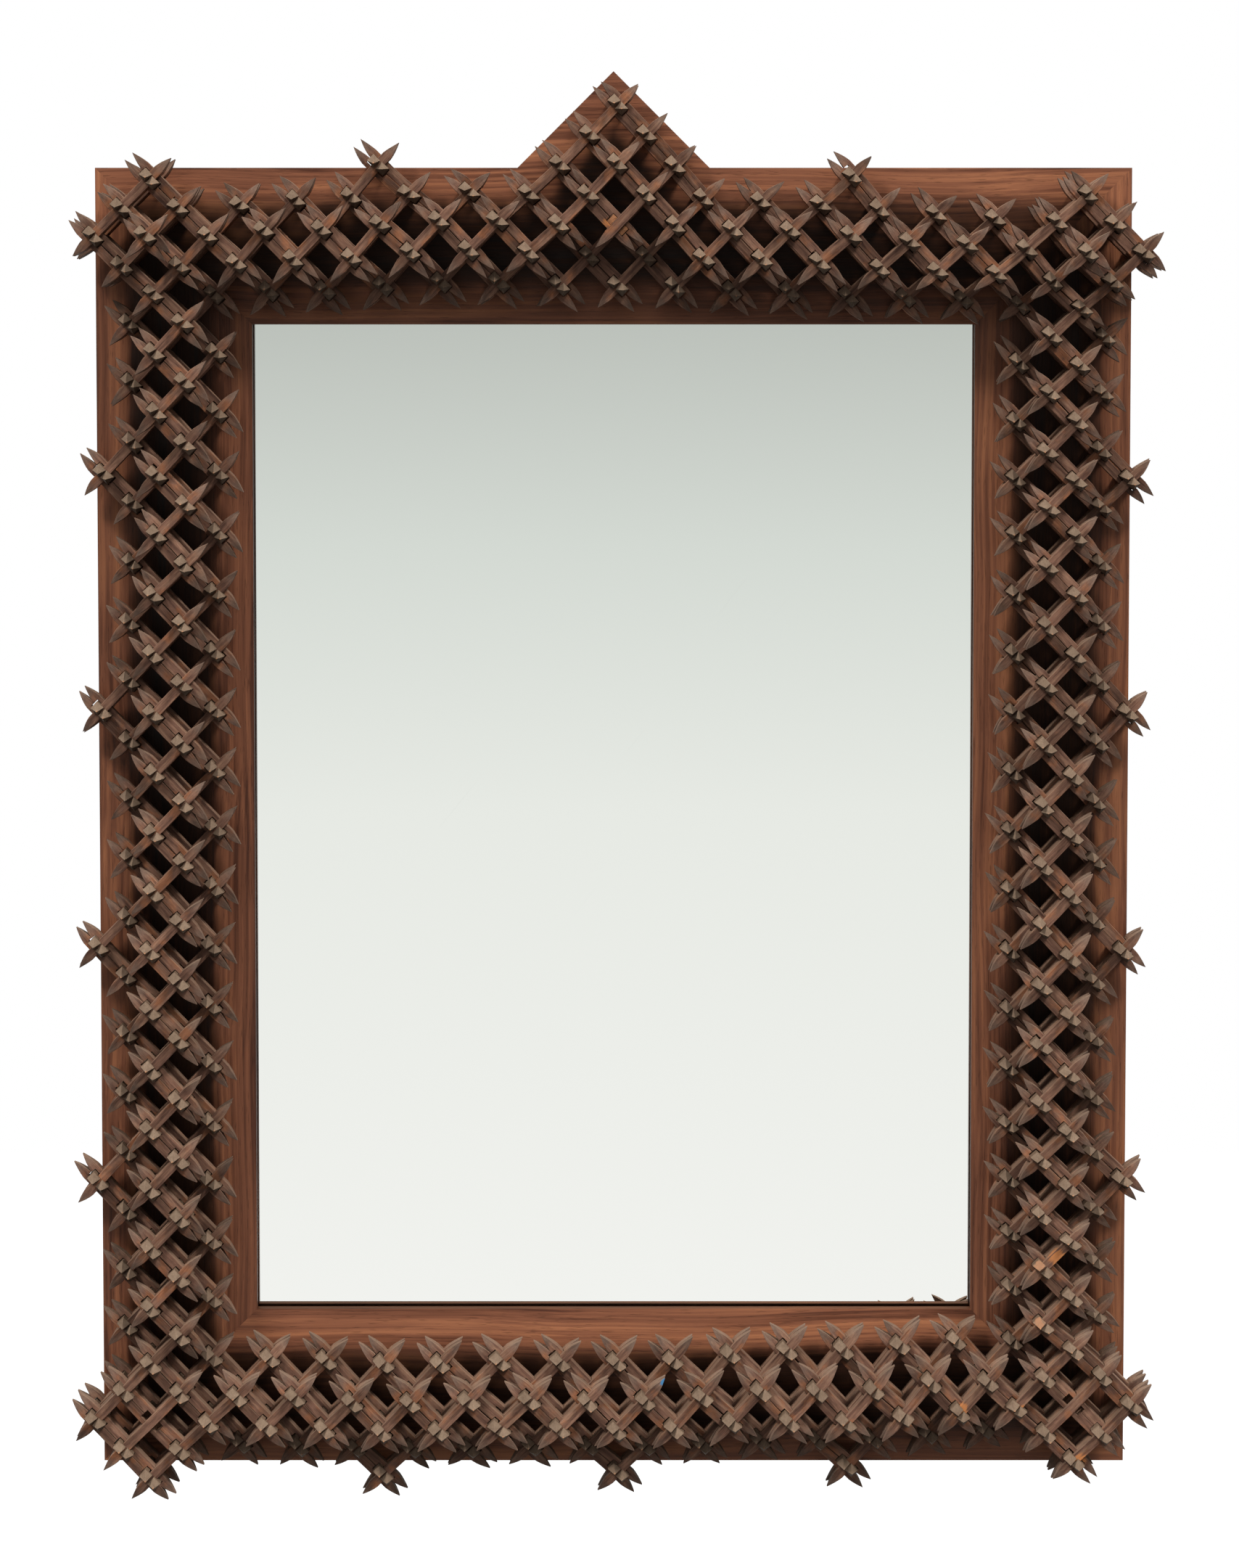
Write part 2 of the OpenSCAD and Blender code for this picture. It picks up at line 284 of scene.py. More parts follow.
# Sticks: dark stain, grey weathered tips, orange-brown where hands rubbed them, raw wood where they broke
stickTone = {
    "dark": tint("463129"),
    "body": tint("6a4d3f"),
    "light": tint("846551"),
    "worn": tint("8e5837"),
    "grey": tint("635348"),
    "dustAndHighlightColour": tint("7c6856"),
    "raw": tint("b07347"),
    "paint": tint("3f6f96"),
    "streaksPerM": (26, 430, 430),
    "patchesPerM": (70, 110, 110),
    "gritPerM": (260, 1500, 1500),
    "sootPerM": (38, 60, 60),
    "stops": (0.30, 0.5, 0.72),      # of the streaks: dark, body and light
    "sootEdge": (0.50, 0.66),
    "sootDark": 0.35,
    "wornEdge": (0.50, 0.68),
    "wornTip": (0.0, 0.5),           # along the leaf, where hands no longer rubbed
    "wornShare": 0.48,
    "greyTip": (-0.1, 0.7),
    "greyLess": 0.7,
    "toneSpan": (0.92, 0.44),        # least brightness of a piece, and how far pieces differ
    "gritSpan": (0.45, 1.1),
    "dustAndHighlightFacing": (0.25, 0.7),
    "dustAndHighlightShare": 0.45,
    "rawSpots": [((-0.004, -0.055, 0.393), 4 * mm), ((0.2667, -0.055, -0.3837), 4 * mm),
                 ((0.3064, -0.055, -0.4175), 5 * mm), ((0.2913, -0.055, -0.2826), 6 * mm),
                 ((0.2273, -0.055, -0.3832), 5 * mm), ((0.1945, -0.055, -0.3919), 3 * mm)],
    "paintSpots": [((0.0338, -0.055, -0.3649), 3 * mm)],
}


def spotted(paint, place, spots, ragged):
    # a mask that is 1 inside any of the spots, with ragged edges
    mask = 0.0
    for middle, reach in spots:
        away = paint.add("ShaderNodeVectorMath", {"operation": "DISTANCE"}, {0: place, 1: middle}, out="Value")
        mask = paint.step(reach - away + ragged * (2 * reach), -0.2 * reach, 0.3 * reach) + mask
    return mask


grainStride = (7.0, 11.0, 5.0)


def ownGrain(paint, tone):
    # each piece reads its own stretch of the pattern
    shift = paint.add("ShaderNodeCombineXYZ", sockets={k: tone * far for k, far in enumerate(grainStride)})
    return paint.add("ShaderNodeVectorMath", {"operation": "ADD"}, {0: paint.kept("grain", "Vector"), 1: shift})


def spanned(span, value):
    return span[0] + value * span[1]


def makeStickWood(spec=stickTone):
    paint = Paint("stickWood")
    tone = paint.kept("tone")
    tip = paint.kept("tip")
    grain = ownGrain(paint, tone)
    streak = paint.noise(paint.stretch(grain, spec["streaksPerM"]), 1.0, 4, 0.62)
    patch = paint.noise(paint.stretch(grain, spec["patchesPerM"]), 1.0, 3, 0.55)
    grit = paint.noise(paint.stretch(grain, spec["gritPerM"]), 1.0, 3, 0.7)
    soot = paint.step(paint.noise(paint.stretch(grain, spec["sootPerM"]), 1.0, 2, 0.5), *spec["sootEdge"])
    colour = paint.ramp(streak, list(zip(spec["stops"], (spec["dark"], spec["body"], spec["light"]))))
    worn = paint.step(patch, *spec["wornEdge"]) * (1.0 - paint.step(tip, *spec["wornTip"]))
    colour = paint.mix(worn * spec["wornShare"], colour, spec["worn"])
    grey = paint.step(tip, *spec["greyTip"]) * (1.0 - patch * spec["greyLess"])
    colour = paint.mix(grey, colour, spec["grey"])
    shade = spanned(spec["toneSpan"], tone) * spanned(spec["gritSpan"], grit)
    colour = paint.shade(colour, shade * (1.0 - soot * spec["sootDark"]))
    # dust and a painted highlight: faces that point up are made paler
    dustAndHighlight = paint.step(paint.facing(), *spec["dustAndHighlightFacing"]) * spec["dustAndHighlightShare"]
    colour = paint.mix(dustAndHighlight, colour, spec["dustAndHighlightColour"])
    place = paint.place()
    colour = paint.mix(spotted(paint, place, spec["rawSpots"], streak - 0.5), colour, spec["raw"])
    colour = paint.mix(spotted(paint, place, spec["paintSpots"], streak - 0.5), colour, spec["paint"])
    return paint.finish({
        "Base Color": colour,
        "Roughness": 0.55 + streak * 0.2,
        "Specular IOR Level": 0.1,
        "Normal": paint.bump(streak + grit * 0.5, 0.5, 0.0004),
    })


stickWood = makeStickWood()


# Pegs: the same stain, with dry grey points and raw wood where one has snapped
pegTone = {
    "shaft": tint("48352a"),
    "point": tint("59463a"),
    "pale": tint("7d6a59"),
    "raw": tint("aa7450"),
    "dustAndHighlightColour": tint("7b6855"),
    "streaksPerM": (480, 60, 480),
    "patchesPerM": (160, 160, 160),
    "gritPerM": (1300, 500, 1300),
    "stops": (0.3, 0.7),
    "tipEdge": (0.2, 0.6),
    "rubbedTip": (0.88, 0.97),
    "rubbedTone": (0.6, 0.7),        # only some of the pegs are rubbed
    "rubbedShare": 0.7,
    "toneSpan": (0.78, 0.40),
    "gritSpan": (0.5, 1.0),
    "dustAndHighlightFacing": (0.2, 0.7),
    "dustAndHighlightShare": 0.45,
    # painted shade on faces that point down: where it starts and how dark it is
    "underShadeFacing": (0.1, 0.6),
    "soot": 0.4,
    "tornSpan": (0.4, 1.0),
    "rawShare": 0.55,
    "rawSpots": [((0.2785, -0.062, -0.2845), 6 * mm), ((0.2773, -0.062, -0.3223), 6 * mm),
                 ((0.1843, -0.062, -0.3621), 4 * mm)],
}


def makePegWood(spec=pegTone):
    paint = Paint("pegWood")
    tone = paint.kept("tone")
    tip = paint.kept("tip")
    grain = ownGrain(paint, tone)
    streak = paint.noise(paint.stretch(grain, spec["streaksPerM"]), 1.0, 4, 0.6)
    patch = paint.noise(paint.stretch(grain, spec["patchesPerM"]), 1.0, 2, 0.5)
    point = paint.ramp(patch * 0.5 + streak * 0.5, list(zip(spec["stops"], (spec["point"], spec["pale"]))))
    colour = paint.mix(paint.step(tip, *spec["tipEdge"]), spec["shaft"], point)
    rubbed = paint.step(tip, *spec["rubbedTip"]) * paint.step(tone, *spec["rubbedTone"])
    colour = paint.mix(rubbed * spec["rubbedShare"], colour, spec["raw"])
    grit = paint.noise(paint.stretch(grain, spec["gritPerM"]), 1.0, 2, 0.6)
    colour = paint.shade(colour, spanned(spec["toneSpan"], tone) * spanned(spec["gritSpan"], grit))
    # dust and a painted highlight: faces that point up are made paler
    dustAndHighlight = paint.step(paint.facing(), *spec["dustAndHighlightFacing"]) * spec["dustAndHighlightShare"]
    colour = paint.mix(dustAndHighlight, colour, spec["dustAndHighlightColour"])
    # painted shade: faces that point down are darkened
    underShade = paint.step(0.0 - paint.facing(), *spec["underShadeFacing"]) * spec["soot"]
    colour = paint.shade(colour, 1.0 - underShade)
    chipped = spotted(paint, paint.place(), spec["rawSpots"], streak - 0.5) * spec["rawShare"]
    torn = (paint.kept("fresh") + chipped) * spanned(spec["tornSpan"], streak)
    colour = paint.mix(torn, colour, spec["raw"])
    return paint.finish({
        "Base Color": colour,
        "Roughness": 0.62 + streak * 0.15,
        "Specular IOR Level": 0.1,
        "Normal": paint.bump(streak, 0.4, 0.0004),
    })


pegWood = makePegWood()


# Old silvered glass: a cold mirror with hairline scratches and a little haze
silver = {
    "sheen": tint("f4f5f3"),
    "haze": 0.02,
    "scratchesPerM": (9, 9, 420),
    "scratchTurn": (0, 0.9, 0),
    "scratchEdge": (0.735, 0.76),
    "scratchRough": 0.12,
}


def makeSilver(spec=silver):
    paint = Paint("silveredGlass")
    place = paint.place()
    turned = paint.stretch(place, (1, 1, 1), spec["scratchTurn"])
    fine = paint.noise(paint.stretch(turned, spec["scratchesPerM"]), 1.0, 2, 0.5)
    scratch = paint.step(fine, *spec["scratchEdge"])
    return paint.finish({
        "Base Color": spec["sheen"],
        "Metallic": 1.0,
        "Roughness": spec["haze"] + scratch * spec["scratchRough"],
    })


mirrorSilver = makeSilver()


# Back planks: unstained softwood gone brown, with darker growth lines
plankTone = {
    "pale": tint("9b7a55"),
    "late": tint("6c4c30"),
    "linesPerM": (1.2, 60, 60),
    "fibrePerM": (20, 500, 500),
    "stainPerM": 4.0,
    "stainSpan": (0.75, 0.5),
    "stops": (0.38, 0.64),
}


def makePlankWood(spec=plankTone):
    paint = Paint("plankWood")
    place = paint.place()
    lines = paint.noise(paint.stretch(place, spec["linesPerM"]), 1.0, 4, 0.6, 0.4)
    fibre = paint.noise(paint.stretch(place, spec["fibrePerM"]), 1.0, 3, 0.6)
    stain = paint.noise(place, spec["stainPerM"], 3, 0.6)
    colour = paint.ramp(lines * 0.7 + fibre * 0.3, list(zip(spec["stops"], (spec["pale"], spec["late"]))))
    colour = paint.shade(colour, spanned(spec["stainSpan"], stain))
    return paint.finish({
        "Base Color": colour,
        "Roughness": 0.7 + fibre * 0.15,
        "Specular IOR Level": 0.2,
        "Normal": paint.bump(fibre + lines, 0.35, 0.0004),
    })


plankWood = makePlankWood()


# Dull steel of hangers, screws and nails, with rust in patches
steelTone = {
    "bright": tint("8d8880"),
    "dull": tint("5b5650"),
    "rust": tint("6b3d22"),
    "cloudsPerM": 180.0,
    "rustPerM": 320.0,
    "rustFade": 0.12,
    "stops": (0.35, 0.65),
}


def makeSteel(name, rustFrom, spec=steelTone):
    paint = Paint(name)
    place = paint.place()
    clouds = paint.noise(place, spec["cloudsPerM"], 4, 0.6)
    spots = paint.noise(place, spec["rustPerM"], 4, 0.65)
    rusty = paint.step(spots, rustFrom, rustFrom + spec["rustFade"])
    colour = paint.ramp(clouds, list(zip(spec["stops"], (spec["dull"], spec["bright"]))))
    return paint.finish({
        "Base Color": paint.mix(rusty, colour, spec["rust"]),
        "Metallic": 0.9 - rusty * 0.8,
        "Roughness": 0.38 + rusty * 0.4,
        "Normal": paint.bump(spots, 0.25, 0.0002),
    })


hangerSteel = makeSteel("hangerSteel", rustFrom=0.62)
nailSteel = makeSteel("nailSteel", rustFrom=0.50)
print("finishes done")


# Where the solids lie: each separate solid of a node as its corner points

def solidsOf(node):
    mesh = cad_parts[node].data
    places = np.empty(len(mesh.vertices) * 3)
    mesh.vertices.foreach_get("co", places)
    corners = np.empty(len(mesh.loops), int)
    mesh.loops.foreach_get("vertex_index", corners)
    spots, which = np.unique(np.round(places.reshape(-1, 3), 6), axis=0, return_inverse=True)
    faces = which.ravel()[corners].reshape(-1, 3)
    label = np.arange(len(spots))
    settled = False
    while not settled:
        before = label.copy()
        lowest = label[faces].min(axis=1)
        for k in range(3):
            np.minimum.at(label, faces[:, k], lowest)
        settled = (label == before).all()
    return [spots[label == k] for k in np.unique(label)]


def middleOf(solid):
    return (solid.max(axis=0) + solid.min(axis=0)) / 2


# A Geometry Nodes tree that lays a kit of parts on points, each a little out of true
bend = {"soft": 0.03, "fade": -2.0, "swayPerM": 7.0}
handLaid = {"Drift": 1.2 * mm, "Warp": 1.0}
# Measured bends of the lattice: where on the front (x, z in m), then how far to the right and up in mm
outOfTrue = [
    # along the top, from the left corner to the right one
    (-0.29, 0.38, -1.4, -4.7), (-0.29, 0.43, -1.5, -6.5), (-0.20, 0.38, -2.0, 0.5), (-0.10, 0.38, -0.4, 6.5),
    (0.00, 0.38, 2.8, 3.3), (0.00, 0.45, 2.8, 4.2), (0.10, 0.38, 2.0, 0.2), (0.20, 0.38, 4.5, -8.5),
    (-0.15, 0.44, -4.8, 4.0), (0.15, 0.44, 6.5, -3.3), (0.18, 0.34, 4.0, -3.5), (0.23, 0.34, 4.0, -4.5),
    (0.25, 0.40, 6.5, -12.0), (0.29, 0.38, 4.0, -16.0), (0.29, 0.43, 8.5, -17.0), (0.33, 0.39, 7.0, -15.0),
    (0.29, 0.33, 3.5, -10.5),
    # down the left side
    (-0.29, 0.33, 1.0, -1.3), (-0.29, 0.29, 2.2, -1.0), (-0.29, 0.22, 2.4, -3.0), (-0.29, 0.12, -1.0, -3.3),
    (-0.29, 0.02, -0.6, -3.0), (-0.29, -0.12, -4.0, -3.3), (-0.29, -0.20, -5.0, -4.0),
    (-0.29, -0.28, -5.0, -4.8),
    # down the right side
    (0.29, 0.26, 1.7, -7.2), (0.29, 0.18, 2.7, -3.7), (0.29, 0.10, 2.0, -4.4), (0.29, 0.00, 0.3, -5.0),
    (0.29, -0.10, -0.1, -7.0), (0.29, -0.18, -0.6, -6.3), (0.29, -0.24, -0.1, -3.0), (0.29, -0.30, 1.7, 1.5),
    # along the foot, from the left corner to the right one
    (-0.29, -0.38, -5.3, -4.0), (-0.33, -0.39, -4.3, -1.5), (-0.29, -0.43, -6.0, -1.5),
    (-0.22, -0.37, -4.0, -6.0), (-0.15, -0.38, -3.2, -10.5), (-0.15, -0.44, -4.0, -5.5),
    (0.00, -0.38, 2.0, -9.0), (0.00, -0.44, 3.2, -3.0), (0.15, -0.38, 3.0, -4.8), (0.15, -0.44, 6.0, 0.0),
    (0.15, -0.34, 2.5, 1.0), (0.22, -0.38, 3.5, 2.5), (0.22, -0.34, 3.0, 7.0), (0.30, -0.39, 4.0, 7.5),
    (0.33, -0.39, 4.0, 8.5), (0.29, -0.43, 4.0, 11.5),
]


def makeLayTree():
    tree = bpy.data.node_groups.new("layPieces", "GeometryNodeTree")
    for name, kind in (("Points", "Geometry"), ("Kit", "Collection"), ("Finish", "Material"), ("Seed", "Int"),
                       ("Lean", "Vector"), ("Slack", "Float"), ("Drift", "Float"), ("Warp", "Float")):
        tree.interface.new_socket(name, in_out="INPUT", socket_type="NodeSocket" + kind)
    tree.interface.new_socket("Pieces", in_out="OUTPUT", socket_type="NodeSocketGeometry")
    nodes = Nodes(tree)
    given = tree.nodes.new("NodeGroupInput")

    def got(name):
        return Wire(nodes, given.outputs[name])

    def vector(operation, first, second):
        return nodes.add("ShaderNodeVectorMath", {"operation": operation}, {0: first, 1: second})

    def spread(seedStep):
        return nodes.add("FunctionNodeRandomValue", {"data_type": "FLOAT_VECTOR"},
                         {0: (-1, -1, -1), 1: (1, 1, 1), 8: got("Seed") + seedStep})

    def scaled(value, factor):
        return nodes.add("ShaderNodeVectorMath", {"operation": "SCALE"}, {0: value, "Scale": factor})

    turn = nodes.add("GeometryNodeInputNamedAttribute", {"data_type": "FLOAT_VECTOR"}, {"Name": "turn"})
    leaning = vector("ADD", turn, vector("MULTIPLY", spread(1), got("Lean")))
    rotation = nodes.add("FunctionNodeEulerToRotation", sockets={0: leaning})
    variant = nodes.add("GeometryNodeInputNamedAttribute", {"data_type": "INT"}, {"Name": "variant"})
    shifted = nodes.add("GeometryNodeSetPosition", sockets={
        "Geometry": got("Points"), "Offset": scaled(spread(2), got("Slack"))})
    kit = nodes.add("GeometryNodeCollectionInfo", sockets={
        "Collection": got("Kit"), "Separate Children": True, "Reset Children": True})
    laid = nodes.add("GeometryNodeInstanceOnPoints", sockets={
        "Points": shifted, "Instance": kit, "Pick Instance": True, "Instance Index": variant,
        "Rotation": rotation})
    tone = nodes.add("FunctionNodeRandomValue", {"data_type": "FLOAT"},
                     {2: 0.0, 3: 1.0, 8: got("Seed")}, out=1)
    toned = nodes.add("GeometryNodeStoreNamedAttribute", {"data_type": "FLOAT", "domain": "INSTANCE"},
                      {"Geometry": laid, "Name": "tone", "Value": tone})
    solid = nodes.add("GeometryNodeRealizeInstances", sockets={0: toned})
    where = nodes.add("GeometryNodeInputPosition")
    flat = vector("MULTIPLY", where, (1, 0, 1))
    push, total = (0, 0, 0), 0.0
    for x, z, right, up in outOfTrue:
        away = nodes.add("ShaderNodeVectorMath", {"operation": "DISTANCE"},
                         {0: flat, 1: (x, 0, z)}, out="Value")
        weight = nodes.add("ShaderNodeMath", {"operation": "POWER"},
                           {0: away * away + bend["soft"] ** 2, 1: bend["fade"]})
        push = vector("ADD", scaled((right * mm, 0, up * mm), weight), push)
        total = weight + total
    bent = scaled(push, got("Warp") / total)
    sway = nodes.add("ShaderNodeTexNoise", sockets={
        "Vector": where, "Scale": bend["swayPerM"], "Detail": 1.0}, out="Color")
    swayed = vector("MULTIPLY", vector("SUBTRACT", sway, (0.5, 0.5, 0.5)), (1, 0, 1))
    drifted = nodes.add("GeometryNodeSetPosition", sockets={
        "Geometry": solid, "Offset": vector("ADD", bent, scaled(swayed, got("Drift")))})
    done = nodes.add("GeometryNodeSetMaterial", sockets={"Geometry": drifted, "Material": got("Finish")})
    result = tree.nodes.new("NodeGroupOutput")
    nodes.feed(result.inputs[0], done)
    return tree


layTree = makeLayTree()


def layPieces(name, spots, values):
    mesh = bpy.data.meshes.new(name)
    mesh.from_pydata([tuple(place) for place, _, _ in spots], [], [])
    turns = np.ravel([turn for _, turn, _ in spots])
    mesh.attributes.new("turn", "FLOAT_VECTOR", "POINT").data.foreach_set("vector", turns)
    mesh.attributes.new("variant", "INT", "POINT").data.foreach_set("value", [part for _, _, part in spots])
    piece = bpy.data.objects.new(name, mesh)
    scene.collection.objects.link(piece)
    laying = piece.modifiers.new("lay", "NODES")
    laying.node_group = layTree
    for socket in layTree.interface.items_tree:
        if socket.in_out == "INPUT" and socket.name in values:
            laying[socket.identifier] = values[socket.name]
    seen = bpy.context.evaluated_depsgraph_get()
    piece.data = bpy.data.meshes.new_from_object(piece.evaluated_get(seen), preserve_all_data_layers=True,
                                                 depsgraph=seen)
    piece.modifiers.clear()
    return piece


def stand(piece, slot, *nodes):
    # the piece stands for these nodes and rides with the whole frame
    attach(piece, "root")
    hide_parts(*nodes)


# Lattice sizes, as the solids have them
lattice = {
    "stepX": 18.6 * mm,
    "stepZ": 19.4 * mm,
    "side": 6.2 * mm,            # square section of sticks and pegs
    "cell": 6.4 * mm,            # a stick with its share of the joint gap
    "notchHalf": 6.63 * mm,
    "notchFloor": 0.1 * mm,      # what is left of a notched stick starts this far past its middle
    "boardFront": 16 * mm,
    "layers": (29 * mm, 49 * mm, 69 * mm),
}
half = lattice["side"] / 2
pitch = math.hypot(lattice["stepX"], lattice["stepZ"])
lineGap = 2 * lattice["stepX"] * lattice["stepZ"] / pitch
riseAngle = math.atan2(lattice["stepZ"], lattice["stepX"])


def loftBar(name, rings, toPlace, tips, grains):
    # a bar of square rings with cut corners: each ring is (station, low and high of both sides, cut)
    spots = []
    for station, (a0, a1), (b0, b1), cut in rings:
        ring = [(a0 + cut, b0), (a1 - cut, b0), (a1, b0 + cut), (a1, b1 - cut),
                (a1 - cut, b1), (a0 + cut, b1), (a0, b1 - cut), (a0, b0 + cut)]
        spots += [toPlace(station, a, b) for a, b in ring]
    count = len(rings)
    faces = [(8 * i + k, 8 * i + (k + 1) % 8, 8 * i + 8 + (k + 1) % 8, 8 * i + 8 + k)
             for i in range(count - 1) for k in range(8)]
    faces += [tuple(range(8)), tuple(range(8 * count - 8, 8 * count))]
    mesh = bpy.data.meshes.new(name)
    mesh.from_pydata(spots, [], faces)
    shape = bmesh.new()
    shape.from_mesh(mesh)
    bmesh.ops.recalc_face_normals(shape, faces=shape.faces)
    shape.to_mesh(mesh)
    shape.free()
    mesh.attributes.new("tip", "FLOAT", "POINT").data.foreach_set("value", np.repeat(tips, 8))
    mesh.attributes.new("grain", "FLOAT_VECTOR", "POINT").data.foreach_set("vector", np.ravel(grains(spots)))
    return bpy.data.objects.new(name, mesh)


# Sticks with leaf-shaped ends, notched on one side where they cross
leaf = {
    "reach": 19.5 * mm,
    "taper": 11 * mm,
    "bulge": 0.4 * mm,
    "shares": (0.0, 0.25, 0.5, 0.75, 1.0),
    "blunt": 0.08 * mm,
    "edgeCut": 0.22 * mm,
    "reachSlack": 0.9 * mm,
    "sway": 0.6 * mm,
    "wallSlope": 0.15 * mm,
    "thinned": 0.6,              # share of its depth that a leaf has lost at its tip
    "thinCurve": 1.5,
    "pairGap": 0.12 * mm,        # planed off the inner edge of the two sticks that lie side by side
    "pegRoom": 0.75 * mm,        # their notches are this much longer, for the pegs
    "alternates": 4,
    "longest": 12,
}


def leafHalf(share):
    # half width of a leaf at a share of its taper: nearly straight, with a slight belly
    return max(half * (1 - share) + 4 * leaf["bulge"] * share * (1 - share), leaf["blunt"])


def makeStick(name, count, notchSide, rng):
    span = (count - 1) * pitch / 2
    onEdge = notchSide == "edge"
    inner = -half + leaf["pairGap"] if onEdge else -half
    notch = lattice["notchHalf"] + (leaf["pegRoom"] if onEdge else 0)
    rings = []
    for end in (-1, 1):
        root = span + leaf["reach"] - leaf["taper"]
        longer = rng.uniform(-leaf["reachSlack"], leaf["reachSlack"])
        sway = rng.uniform(-leaf["sway"], leaf["sway"])
        for share in leaf["shares"]:
            wide = leafHalf(share) * (half - inner) / (2 * half)
            middle = (half + inner) / 2 + sway * share ** 2
            station = end * (root + share * (leaf["taper"] + longer))
            cut = leaf["edgeCut"] * min(1.0, wide / half)
            deep = half * (1 - leaf["thinned"] * share ** leaf["thinCurve"])
            rings.append((station, (middle - wide, middle + wide), (-deep, deep), cut))
    for i in range(count):
        centre = i * pitch - span
        for station, notched in ((-notch - leaf["wallSlope"], False), (-notch, True),
                                 (notch, True), (notch + leaf["wallSlope"], False)):
            across = (lattice["notchFloor"] if notched and onEdge else inner, half)
            depth = (-half, -lattice["notchFloor"] if notched and not onEdge else half)
            rings.append((centre + station, across, depth, leaf["edgeCut"]))
    rings.sort(key=lambda ring: ring[0])
    tips = [max(-1.0, (abs(ring[0]) - span - leaf["reach"] + leaf["taper"]) / leaf["taper"]) for ring in rings]
    return loftBar(name, rings, lambda s, a, b: (s, b, a), tips, lambda spots: spots)


def makeKit(name, makers):
    # a collection of parts, in the order in which they are picked
    kit = bpy.data.collections.new(name)
    for k, maker in enumerate(makers):
        kit.objects.link(maker(f"{name}{k:03d}"))
    return kit


def makeStickKit(name, notchSide, seed):
    rng = np.random.default_rng(seed)
    counts = [c for c in range(1, leaf["longest"] + 1) for _ in range(leaf["alternates"])]
    return makeKit(name, [lambda part, c=c: makeStick(part, c, notchSide, rng) for c in counts])


stickKits = {1: makeStickKit("risingStick", "back", seed=11), -1: makeStickKit("fallingStick", "edge", seed=12)}


def sticksOf(node, way):
    # middle, turn and number of crossings of every stick in a node
    angle = way * riseAngle
    along = np.array((math.cos(angle), 0, math.sin(angle)))
    across = np.array((-math.sin(angle), 0, math.cos(angle)))
    found = []
    for solid in solidsOf(node):
        run = solid @ along
        side = solid @ across
        middle = middleOf(solid)
        aside = (side.max() + side.min()) / 2
        flat = along * (run.max() + run.min()) / 2 + across * aside
        count = round((run.max() - run.min() - 2 * leaf["reach"]) / pitch) + 1
        thick = solid[:, 1].max() - solid[:, 1].min()
        layer = min(lattice["layers"], key=lambda y: abs(y + middle[1]))
        if way < 0:
            pair = round(aside / lineGap) * lineGap
            found.append(((flat[0], middle[1], flat[2]), 0.0 if aside > pair else math.pi, count))
        else:
            depths = [middle[1]] if thick < lattice["cell"] else [-layer - lattice["cell"] / 2,
                                                                  -layer + lattice["cell"] / 2]
            for depth in depths:
                found.append(((flat[0], depth, flat[2]), 0.0 if depth < -layer else math.pi, count))
    return [(place, (roll, -angle, 0), count) for place, roll, count in found]


stickSlack = {"Slack": 0.25 * mm, "Lean": (0.012, 0.007, 0.004)}
stickSeed = 40


def makeSticks(node, order):
    way = 1 if "rising" in node else -1
    seed = stickSeed + order
    rng = np.random.default_rng(seed)
    spots = [(place, turn, (count - 1) * leaf["alternates"] + rng.integers(leaf["alternates"]))
             for place, turn, count in sticksOf(node, way)]
    piece = layPieces(node + ".sticks", spots, {
        "Kit": stickKits[way], "Finish": stickWood, "Seed": seed, **stickSlack, **handLaid})
    stand(piece, "stick_wood", node)
    return len(spots)


stickNodes = [n for n in sorted(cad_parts) if n.endswith(("rising", "falling"))]
print("sticks:", sum(makeSticks(node, k) for k, node in enumerate(stickNodes)))


# Pegs with four-sided points, two to a crossing, notched on their inner side in each layer
peg = {
    "proud": 8.4 * mm,           # from a layer's middle to the shoulders of the point
    "point": 5.6 * mm,
    "pointSlack": 0.8 * mm,
    "apexOff": 1.2 * mm,         # the tip lies off the middle, towards the two lower faces
    "upperMore": 0.4 * mm,       # more so on the upper peg of a pair than on the lower one
    "apexSlack": 0.5 * mm,
    "inner": 0.5 * mm,           # half the gap between the two pegs of a pair
    "notchFloor": 3.37 * mm,
    "edgeCut": 0.14 * mm,
    "apex": 0.06 * mm,
    "alternates": 6,
    "pairAngle": math.radians(45),
}


def pegRings(tops, layers):
    # rings of a peg from the board to its shoulders, open on the inner side in every layer
    full = (peg["inner"], peg["inner"] + lattice["side"])
    notched = (peg["notchFloor"], full[1])
    notch, past = lattice["notchHalf"], lattice["notchHalf"] + leaf["wallSlope"]
    rings = [(0.0, full)]
    for depth in lattice["layers"][:layers]:
        height = depth - lattice["boardFront"]
        for station, sides in ((-past, full), (-notch, notched), (notch, notched), (past, full)):
            rings.append((height + station, sides))
    rings = [ring for ring in rings if ring[0] < tops]
    rings.append((tops, rings[-1][1]))
    return [(station, sides, (-half, half), peg["edgeCut"]) for station, sides in rings]


def alongPeg(station, a, b):
    return (a, -station, b)


def makePeg(name, layers, down, rng):
    # down is 1 for the lower right peg of a pair and -1 for the upper left one
    top = lattice["layers"][layers - 1] - lattice["boardFront"] + peg["proud"]
    rings = pegRings(top, layers)
    tips = [0.0] * (len(rings) - 1) + [0.5]
    tip = top + peg["point"] + rng.uniform(-peg["pointSlack"], peg["pointSlack"])
    off = down * peg["apexOff"] - peg["upperMore"]
    aside = rng.uniform(-peg["apexSlack"], peg["apexSlack"], 2) + (peg["inner"] + half + off, -off)
    rings.append((tip, (aside[0] - peg["apex"], aside[0] + peg["apex"]),
                  (aside[1] - peg["apex"], aside[1] + peg["apex"]), peg["apex"] / 2))
    tips.append(1.0)
    return loftBar(name, rings, alongPeg, tips, lambda spots: spots)


